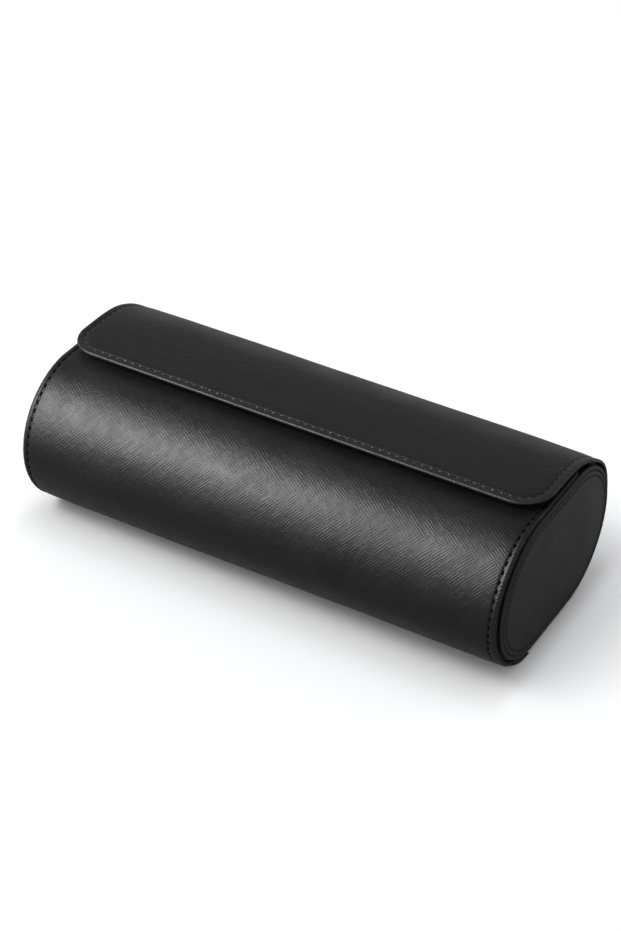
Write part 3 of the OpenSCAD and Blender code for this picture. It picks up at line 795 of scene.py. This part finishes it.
class OBJECT_OT_watch_case_linings(bpy.types.Operator):
    """Suede linings of the back, the flap and the front panel, thin sheets that bend with the folds"""

    bl_idname = "object.watch_case_linings"
    bl_label = "Wrap linings"

    def execute(self, context):
        colours = settings_of(context)[1]
        # A sheet 0.6 mm thick with a round edge, the same on both faces
        thick = 0.6
        profile = [(4.0, 0.0), (1.2, 0.0), (0.4, 0.02), (0.1, 0.12), (0.0, thick / 2)]
        profile += [(e, thick - d) for e, d in profile[-2::-1]]

        def laid(fold, under, magnet_s, droop):
            """Depth of a lining that lies under a board, or under bare skin at a fold. On its inner face a
            ring 0.12 mm high shows round each hidden magnet."""

            def shape(s, x, inset, depth):
                thin = folded(s, fold)
                off = np.hypot(np.abs(x) - MAGNET[0], s - magnet_s)
                ring = 0.12 * np.exp(-(((off - MAGNET[2]) / 0.6) ** 2))
                base = under * (1 - thin) + FOLD_DEPTH * thin
                return base + depth + np.where(depth > 0.5, ring, 0.0) + droop(s, x)

            return shape

        half = HALF_L - LINING_INSET
        end = path_length(BACK_PATH)
        plan = sheet_plan(
            back_s(BACK_LINING_A), end - FLAP_SHORT - LINING_INSET, half, FLAP_CORNER - LINING_INSET
        )
        fold = [back_s(a) for a in FLAP_FOLD_A]
        shape = laid(fold, BOARD_DEPTH, end - (MAGNET[1] - FLAP_Y), settle_depth)
        back = slab("back_and_flap_lining", plan, profile, sheet_place(BACK_PATH, shape))
        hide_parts("back_lining", "flap_lining")
        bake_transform(back)

        end = path_length(FRONT_PATH)
        start = front_s(FRONT_FOLD_A[0]) + 0.6
        plan = sheet_plan(start, end - LINING_INSET, half, LIP_CORNER - LINING_INSET)
        shape = laid(NO_FOLD, FRONT_DEPTH, end - (LIP_Y - MAGNET[1]), heel_draw)
        front = slab("front_panel_lining", plan, profile, sheet_place(FRONT_PATH, shape))
        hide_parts("front_lining")
        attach(front, "front_panel")
        for lining in (back, front):
            cover(lining, "lining", colours)
        return {"FINISHED"}


# ---------- The ends of the tray ----------

SIDES = ((-1, "left"), (1, "right"))


def panel_ring(e):
    """Ring of the end panel's outline, drawn in by e."""
    return slot_ring(e, PANEL_R, PANEL_CY)


class OBJECT_OT_watch_case_end_pads(bpy.types.Operator):
    """Padded end panels, each with a thin bead round it and a stitch row inside the bead"""

    bl_idname = "object.watch_case_end_pads"
    bl_label = "End pads"

    def execute(self, context):
        sizes, colours = settings_of(context)
        # The stitch row's distance from the panel's edge, and its pitch
        row_at = 3.5
        pitch = sizes.stitch_pitch / MM * 0.7
        # The bead is a cord of 1.6 mm under leatherette, half sunk
        cord, sunk = 0.8, 0.4
        turn = np.radians(np.linspace(180, 0, 11))
        round_top = [(cord - cord * np.cos(t), sunk + cord * np.sin(t)) for t in turn]
        bead_rows = [(2 * cord, 0.0), *round_top, (0.0, 0.0)]
        # The pad starts inside the bead, its edge stands 1.5 mm high with a round shoulder, and its foot
        # reaches from the bead's plane down to the end board
        start, top, shoulder = 1.62, 1.5, 1.3
        middle, foot = PANEL_R - 0.8, END_X - LAP_X

        def face(e):
            """Height of a pad's face at a distance from the panel's edge: the crown is eased in over 17 mm."""
            return top + sizes.pad_crown / MM * float(ease(e, 3.0, 20.0))

        turn = np.radians(np.linspace(0, 90, 9))
        rows = (middle, 24.0, 20.0, 16.0, 13.0, 10.5, 8.5, 7.0, 6.0, 5.2, 4.5, 4.0, 3.7, 3.5, 3.3, 3.05)
        pad_rows = [(e, face(e)) for e in rows]
        pad_rows += [(start + shoulder * (1 - np.sin(t)), top - shoulder * (1 - np.cos(t))) for t in turn]
        pad_rows += [(start, 0.02), (start + 0.6, 0.0), (start + 0.6, foot), (middle, foot)]

        for side, name in SIDES:

            def place(flat, inset, height):
                """Outwards by the height, less a groove 0.35 mm deep and 0.45 mm wide along the row."""
                dent = 0.35 * np.exp(-(((inset - row_at) / 0.45) ** 2)) * (height > 0.8)
                x = side * (LAP_X + height - dent)
                return np.stack([x, PANEL_Y + flat[:, 0], PANEL_CZ + flat[:, 1]], -1)

            def laid(shift, height):
                at, way = evenly(panel_ring(row_at), pitch, closed=True, shift=shift)
                spots = place(at, np.full(len(at), row_at), np.full(len(at), height))
                ways = np.concatenate([np.zeros((len(way), 1)), way], 1)
                return spots, ways, np.tile([float(side), 0.0, 0.0], (len(at), 1))

            bead = ring_band("end_bead_" + name, panel_ring, bead_rows, place)
            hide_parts("end_rim_" + name)
            pad = ring_slab("end_pad_soft_" + name, panel_ring, pad_rows, place)
            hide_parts("end_pad_" + name)
            thread = sizes.thread_radius / MM
            row = threads("end_stitches_" + name, *laid(0.5, face(row_at)), pitch * 0.5, thread, 0.85)
            # Dark caps that paint the shade of the needle holes along the row
            hole_shade_caps = hole_shades("end_needle_holes_" + name, *laid(0.0, face(row_at) + 0.14), pitch * 0.44, 0.8)
            for piece, kind in ((bead, "plain hide"), (pad, "plain hide"), (row, "thread"), (hole_shade_caps, "hole")):
                cover(piece, kind, colours)
                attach(piece, "case_body")
        return {"FINISHED"}


# ---------- The inside ----------


class OBJECT_OT_watch_case_dividers(bpy.types.Operator):
    """Suede covers of the two dividers, folded over their scooped tops"""

    bl_idname = "object.watch_case_dividers"
    bl_label = "Dividers"

    def execute(self, context):
        colours = settings_of(context)[1]
        # The cover stands 0.6 mm over the board, with a finger scoop 6 mm deep and 50 mm wide
        top_z = corner_mm("divider_right", 1, 2) + 0.6
        scoop_d, scoop_w = 6.0, 50.0
        scoop_r = (scoop_w**2 / 4 + scoop_d**2) / (2 * scoop_d)
        scoop_z = top_z - scoop_d + scoop_r
        # The share of the tray's half width that the foot takes, so that a side keeps some slope
        tip = 0.999

        def lower(t, r):
            """Y and Z on the lower half of the tray's outline, at the share t of its half width."""
            y = t * (TRAY_CY + r) * tip
            over = np.maximum(np.abs(y) - TRAY_CY, 0)
            return y, TRAY_CZ - np.sqrt(np.maximum(r**2 - over**2, 0))

        def sides(v, r, top):
            """Y and Z up the tray's round side at +Y, by even steps of height from the foot to the top."""
            low = TRAY_CZ - np.sqrt(r**2 - ((TRAY_CY + r) * tip - TRAY_CY) ** 2)
            z = low + (top - low) * v
            return TRAY_CY + np.sqrt(np.maximum(r**2 - (z - TRAY_CZ) ** 2, 0)), z

        def plan(e):
            """Each column leans from its foot on the tray's outline to its head on the cut and scooped top,
            and the first and the last follow the tray's sides."""
            r, top = TRAY_R - TRAY_IN - e, top_z - e
            t, v = np.linspace(-1, 1, 90), np.linspace(0, 1, 22)
            foot_y, foot_z = lower(t, r)
            head_y = t * (TRAY_CY + np.sqrt(max(r**2 - (top - TRAY_CZ) ** 2, 0)))
            drop = np.sqrt(np.maximum((scoop_r + e) ** 2 - head_y**2, 0))
            in_scoop = (np.abs(head_y) < scoop_w / 2) & (drop > 0)
            head_z = np.minimum(top, np.where(in_scoop, scoop_z - drop, top))
            up = v[:, None]
            y, z = foot_y * (1 - up) + head_y * up, foot_z * (1 - up) + head_z * up
            y[:, -1], z[:, -1] = sides(v, r, top)
            y[:, 0], z[:, 0] = -y[:, -1], z[:, -1]
            return np.stack([y, z], -1)

        # 3 mm thick in all, with edges rounded to 0.9 mm
        thick, edge = 3.0, 0.9
        t = np.radians(np.linspace(0, 90, 6))
        profile = [(4.0, 0.0), (2.0, 0.0), *((edge - edge * np.sin(a), edge - edge * np.cos(a)) for a in t)]
        profile += [(edge - edge * np.cos(a), thick - edge + edge * np.sin(a)) for a in t]
        profile += [(2.0, thick), (4.0, thick)]
        for _, name in SIDES:
            middle = (corner_mm("divider_" + name, 0, 0) + corner_mm("divider_" + name, 1, 0)) / 2

            def place(flat, inset, depth):
                return np.stack([middle + thick / 2 - depth, flat[:, 0], flat[:, 1]], -1)

            sleeve = slab("divider_cover_" + name, plan, profile, place)
            cover(sleeve, "lining", colours)
            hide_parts("divider_linings_" + name)
            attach(sleeve, "case_body")
        return {"FINISHED"}


def points_of(thing):
    """The points of a mesh, in metres, one row each. Works on a piece or on its evaluated mesh."""
    mesh = getattr(thing, "data", thing)
    co = np.zeros(len(mesh.vertices) * 3)
    mesh.vertices.foreach_get("co", co)
    return co.reshape(-1, 3)


def settle(thing, frames):
    """Lets a closed cloth swell under pressure: no gravity, no shrink, and it starts from its own shape.
    Returns the settled mesh's points."""
    cloth = thing.modifiers.new("cloth", "CLOTH")
    cloth.settings.use_pressure = True
    cloth.settings.uniform_pressure_force = 4.0
    cloth.settings.effector_weights.gravity = 0.0
    cloth.settings.tension_stiffness = 15
    cloth.settings.compression_stiffness = 15
    cloth.settings.bending_stiffness = 0.5
    cloth.point_cache.frame_start, cloth.point_cache.frame_end = 1, frames
    scene = bpy.context.scene
    for k in range(1, frames + 1):
        scene.frame_set(k)
    seen = thing.evaluated_get(bpy.context.evaluated_depsgraph_get())
    co = points_of(seen.to_mesh())
    seen.to_mesh_clear()
    thing.modifiers.remove(cloth)
    scene.frame_set(1)
    return co


def applied(thing):
    """Puts a piece's modifiers into its mesh."""
    mesh = bpy.data.meshes.new_from_object(thing.evaluated_get(bpy.context.evaluated_depsgraph_get()))
    thing.modifiers.clear()
    old = thing.data
    thing.data = mesh
    bpy.data.meshes.remove(old)
    return thing


class OBJECT_OT_watch_case_pillows(bpy.types.Operator):
    """Three watch pillows: foam in a suede sleeve with gathered ends, their cloth swollen by simulation"""

    bl_idname = "object.watch_case_pillows"
    bl_label = "Watch pillows"

    def execute(self, context):
        sizes, colours = settings_of(context)
        low, high = [np.array(c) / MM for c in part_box("pillow_sleeve_middle")]
        radius = (high[2] - low[2]) / 2
        span = (high[1] - low[1]) / 2 - radius
        middle_z = (high[2] + low[2]) / 2
        half = (corner_mm("pillow_ends_middle", 1, 0) - corner_mm("pillow_ends_middle", 0, 0)) / 2
        # The cloth starts 1.6 mm small all round with edges rounded to 3.5 mm, so that it can swell
        draw, edge = 1.6, 3.5
        reach = half - draw

        def ring(e):
            return slot_ring(e, radius - draw, span, 40, 8)

        def place(flat, inset, height):
            return np.stack([height, flat[:, 0], middle_z + flat[:, 1]], -1)

        t = np.radians(np.linspace(0, 90, 5))
        profile = [(radius - draw - 0.6, reach), (12.0, reach), (8.0, reach)]
        profile += [(edge - edge * np.sin(a), reach - edge + edge * np.cos(a)) for a in t]
        profile += [(0.0, x) for x in np.linspace(reach - edge, edge - reach, 9)[1:-1]]
        profile += [(edge - edge * np.cos(a), -(reach - edge + edge * np.sin(a))) for a in t]
        profile += [(8.0, -reach), (12.0, -reach), (radius - draw - 0.6, -reach)]
        form = ring_slab("pillow_form", ring, profile, place)
        grid = form.modifiers.new("grid", "REMESH")
        grid.mode = "VOXEL"
        grid.voxel_size = sizes.pillow_voxel
        start = points_of(applied(form))
        # No point swells by more than 5 mm
        end = settle(form, sizes.pillow_frames)
        move = end - start
        far = np.linalg.norm(move, axis=1, keepdims=True)
        end = start + move * np.minimum(1, 5 * MM / np.maximum(far, 1e-9))
        form.data.vertices.foreach_set("co", end.ravel())
        smooth = form.modifiers.new("smooth", "SUBSURF")
        smooth.levels = smooth.render_levels = 2
        co = points_of(applied(form)) / MM
        # Fit into the room of the frame's pillow: each axis is scaled to its size
        want_low = np.array([-half, low[1], low[2]])
        want_high = np.array([half, high[1], high[2]])
        have_low, have_high = co.min(0), co.max(0)
        co = want_low + (co - have_low) * (want_high - want_low) / (have_high - have_low)
        # Seams 0.75 mm deep where the end discs are sewn in, with 46 small puckers round each, and one
        # of 0.6 mm under the pillow where the sleeve closes
        seam = half - 4.2
        off = np.abs(np.abs(co[:, 0]) - seam)
        spine = np.stack([co[:, 0], np.clip(co[:, 1], -span, span), np.full(len(co), middle_z)], -1)
        radial = co - spine
        length = np.linalg.norm(radial, axis=1, keepdims=True)
        radial = radial / np.maximum(length, 1e-6)
        angle = np.arctan2(co[:, 2] - middle_z, co[:, 1])
        pucker = 0.18 * np.sin(angle * 46) * np.exp(-((off / 2.2) ** 2))
        dent = 0.75 * np.exp(-((off / 0.7) ** 2)) + pucker
        under = (co[:, 2] < middle_z) & (np.abs(co[:, 0]) < seam)
        dent = dent + np.where(under, 0.6 * np.exp(-((co[:, 1] / 0.8) ** 2)), 0)
        # The flat middles of the ends lie within 6 mm of the spine and keep their shape
        co = co - radial * dent[:, None] * (length > 6)
        form.data.vertices.foreach_set("co", (co * MM).ravel())
        form.data.polygons.foreach_set("use_smooth", np.ones(len(form.data.polygons), bool))
        pitch = (corner_mm("pillow_sleeve_right", 0, 0) - corner_mm("pillow_sleeve_middle", 0, 0)) * MM
        for side, name in (SIDES[0], (0, "middle"), SIDES[1]):
            pillow = bpy.data.objects.new("pillow_soft_" + name, form.data.copy())
            context.scene.collection.objects.link(pillow)
            moved = points_of(pillow) + (side * pitch, 0, 0)
            pillow.data.vertices.foreach_set("co", moved.ravel())
            pillow.data.update()
            cover(pillow, "pillow", colours)
            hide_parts("pillow_core_" + name, "pillow_sleeve_" + name, "pillow_ends_" + name)
            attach(pillow, "pillow_" + name)
        bpy.data.objects.remove(form)
        return {"FINISHED"}


# The words in a frame's node's name that give its kind of surface. Any other node is papered board
NODE_WORDS = {
    "lining": ("lining", "linings"),
    "plain hide": ("beads", "rim", "pad"),
    "hide": ("cover", "fold"),
    "foam": ("core",),
    "pillow": ("sleeve", "ends"),
    "nickel": ("magnets",),
    "steel": ("keepers",),
}


class OBJECT_OT_watch_case_frame_finish(bpy.types.Operator):
    """Gives the boards, linings, beads, magnets and keeper plates of the frame their materials"""

    bl_idname = "object.watch_case_frame_finish"
    bl_label = "Boards, linings and magnets"

    def execute(self, context):
        colours = settings_of(context)[1]
        for name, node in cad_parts.items():
            kinds = [kind for kind, words in NODE_WORDS.items() if set(words) & set(name.split("_"))]
            cover(node, kinds[0] if kinds else "board", colours)
        return {"FINISHED"}


# ---------- Stage ----------

# The camera that was fitted to the photograph: azimuth and elevation in degrees, distance in metres from
# its target, and the target's place in metres to the right of and above a point 40 mm up the middle
CAMERA_AZIMUTH, CAMERA_ELEVATION = 31.145, 36.511
CAMERA_FAR = 0.8309
CAMERA_SHIFT = (-0.000549, -0.003117)
# Its focal length, and the photograph's longer side, in pixels, and the sensor in millimetres
FOCAL_PX, PHOTO_PX, SENSOR = 2224.1, 931, 36.0
# The lamps: place in metres, width and height in metres, power in watts, and whether only gloss shows it
LAMPS = {
    "key": ((-0.63, -0.90, 1.68), 1.1, 0.8, 17, False),
    "strip": ((-0.70, -0.70, 0.73), 0.55, 0.87, 66, True),
}
LAMP_AIM = (0, 0, 0.03)
# Half the footprint that the floor's painted lift keeps clear of, the lift's reach past it in metres, how much
# faster it rises off the ends than off the long sides, so that the shadow off the ends is painted lighter, and its
# strength and its cool colour, which paints a cool tint into the shadow's fringe
LIFT_CLEAR = (0.1, 0.036, 0.0)
LIFT_REACH = 0.024
LIFT_STRETCH = (2.4, 1.0, 1.0)
LIFT = 0.22
LIFT_COLOUR = (0.94, 0.95, 1.0, 1)
# Brightness of the surroundings by height, from the horizon (0) to straight up (1)
SKY = ((0.04, 1.0), (0.4, 0.62), (0.7, 0.62), (0.95, 0.35))


def floor_finish(tree):
    """A pale matt table top that the camera sees whiter than the light does. Its white lift is a painted glow that
    starts outside the footprint and rises away from it, so that it paints the outer part of the case's shadow
    lighter while the contact shadow keeps its depth."""
    ray = add(tree, "ShaderNodeLightPath")
    pale = {"data_type": "RGBA", 6: linear("C8C8C8"), 7: (1, 1, 1, 1)}
    colour = add(tree, "ShaderNodeMix", pale, {0: (ray, "Is Camera Ray")})
    where = add(tree, "ShaderNodeTexCoord")
    apart = add(tree, "ShaderNodeVectorMath", {"operation": "ABSOLUTE"}, {0: (where, "Object")})
    apart = add(tree, "ShaderNodeVectorMath", {"operation": "SUBTRACT", 1: LIFT_CLEAR}, {0: (apart, 0)})
    apart = add(tree, "ShaderNodeVectorMath", {"operation": "MAXIMUM", 1: (0, 0, 0)}, {0: (apart, 0)})
    apart = add(tree, "ShaderNodeVectorMath", {"operation": "MULTIPLY", 1: LIFT_STRETCH}, {0: (apart, 0)})
    apart = add(tree, "ShaderNodeVectorMath", {"operation": "LENGTH"}, {0: (apart, 0)})
    rise = {"interpolation_type": "SMOOTHSTEP", "From Max": LIFT_REACH, "To Max": LIFT}
    far = add(tree, "ShaderNodeMapRange", rise, {"Value": (apart, "Value")})
    lift = add(tree, "ShaderNodeMath", {"operation": "MULTIPLY"}, {0: (ray, "Is Camera Ray"), 1: (far, 0)})
    settings = {"Roughness": 0.9, "Specular IOR Level": 0.1, "Emission Color": LIFT_COLOUR}
    return settings, {"Base Color": (colour, 2), "Emission Strength": (lift, 0)}


class OBJECT_OT_watch_case_stage(bpy.types.Operator):
    """Pale floor, soft lamps, white surroundings and the camera at the photograph's angle"""

    bl_idname = "object.watch_case_stage"
    bl_label = "Stage"

    def execute(self, context):
        scene = context.scene
        size = 6.0
        corners = [(-size, -size, 0), (size, -size, 0), (size, size, 0), (-size, size, 0)]
        mesh = bpy.data.meshes.new("floor")
        mesh.from_pydata(corners, [], [(0, 1, 2, 3)])
        floor = bpy.data.objects.new("floor", mesh)
        scene.collection.objects.link(floor)
        floor.data.materials.append(new_material("pale_floor", floor_finish))

        # A studio with a white sweep up to the horizon and a dim ceiling
        world = bpy.data.worlds.new("studio")
        scene.world = world
        world.use_nodes = True
        tree = world.node_tree
        tree.nodes.clear()
        way = add(tree, "ShaderNodeTexCoord")
        parts = add(tree, "ShaderNodeSeparateXYZ", None, {0: (way, "Generated")})
        level = add(tree, "ShaderNodeValToRGB", None, {0: (parts, "Z")})
        level.color_ramp.interpolation = "EASE"
        for height, bright in SKY:
            stop = level.color_ramp.elements.new(height)
            stop.color = (bright, bright, bright, 1)
        level.color_ramp.elements.remove(level.color_ramp.elements[0])
        level.color_ramp.elements.remove(level.color_ramp.elements[-1])
        light = add(tree, "ShaderNodeBackground", {"Color": (1, 1, 1, 1)}, {"Strength": (level, 0)})
        add(tree, "ShaderNodeOutputWorld", None, {"Surface": (light, 0)})

        for name, (place, width, height, power, gloss_only) in LAMPS.items():
            data = bpy.data.lights.new(name, "AREA")
            data.shape = "RECTANGLE"
            data.size, data.size_y, data.energy = width, height, power
            lamp = bpy.data.objects.new(name, data)
            scene.collection.objects.link(lamp)
            lamp.location = place
            lamp.rotation_euler = (Vector(LAMP_AIM) - Vector(place)).to_track_quat("-Z", "Y").to_euler()
            lamp.visible_diffuse = not gloss_only

        azimuth, elevation = np.radians(CAMERA_AZIMUTH), np.radians(CAMERA_ELEVATION)
        level_way = (np.sin(azimuth) * np.cos(elevation), -np.cos(azimuth) * np.cos(elevation))
        back = np.array([*level_way, np.sin(elevation)])
        right = np.array([np.cos(azimuth), np.sin(azimuth), 0])
        up = np.cross(back, right)
        target = np.array([0, 0, 0.040]) + CAMERA_SHIFT[0] * right + CAMERA_SHIFT[1] * up
        camera_data = bpy.data.cameras.new("camera")
        camera_data.sensor_fit = "AUTO"
        camera_data.sensor_width = SENSOR
        camera_data.lens = FOCAL_PX / PHOTO_PX * SENSOR
        camera_data.clip_start = 0.01
        camera = bpy.data.objects.new("camera", camera_data)
        scene.collection.objects.link(camera)
        turn = Matrix((right.tolist(), up.tolist(), back.tolist())).transposed().to_4x4()
        turn.translation = (target + back * CAMERA_FAR).tolist()
        camera.matrix_world = turn
        scene.camera = camera
        scene.view_settings.view_transform = "Standard"
        return {"FINISHED"}


STEPS = (
    OBJECT_OT_watch_case_frame_finish,
    OBJECT_OT_watch_case_back_skin,
    OBJECT_OT_watch_case_front_skin,
    OBJECT_OT_watch_case_linings,
    OBJECT_OT_watch_case_end_pads,
    OBJECT_OT_watch_case_dividers,
    OBJECT_OT_watch_case_pillows,
    OBJECT_OT_watch_case_stage,
)


class VIEW3D_PT_watch_case(bpy.types.Panel):
    """The steps that dress the watch case, with the sizes and colours that they read"""

    bl_label = "Watch case"
    bl_idname = "VIEW3D_PT_watch_case"
    bl_space_type = "VIEW_3D"
    bl_region_type = "UI"
    bl_category = "Watch case"

    def draw(self, context):
        layout = self.layout
        for group in (context.scene.watch_case_sizes, context.scene.watch_case_colours):
            box = layout.box()
            for key in group.bl_rna.properties.keys():
                if key not in ("rna_type", "name"):
                    box.prop(group, key)
        for step in STEPS:
            layout.operator(step.bl_idname)


CLASSES = (WatchCaseSizes, WatchCaseColours, *STEPS, VIEW3D_PT_watch_case)


def register():
    """Adds the classes and the two groups of properties."""
    for one in CLASSES:
        bpy.utils.register_class(one)
    bpy.types.Scene.watch_case_sizes = PointerProperty(type=WatchCaseSizes)
    bpy.types.Scene.watch_case_colours = PointerProperty(type=WatchCaseColours)


def unregister():
    """Takes them away again."""
    del bpy.types.Scene.watch_case_colours
    del bpy.types.Scene.watch_case_sizes
    for one in reversed(CLASSES):
        bpy.utils.unregister_class(one)


def main():
    """Runs every step in order."""
    register()
    for step in STEPS:
        space, action = step.bl_idname.split(".")
        getattr(getattr(bpy.ops, space), action)()


if __name__ == "__main__":
    main()
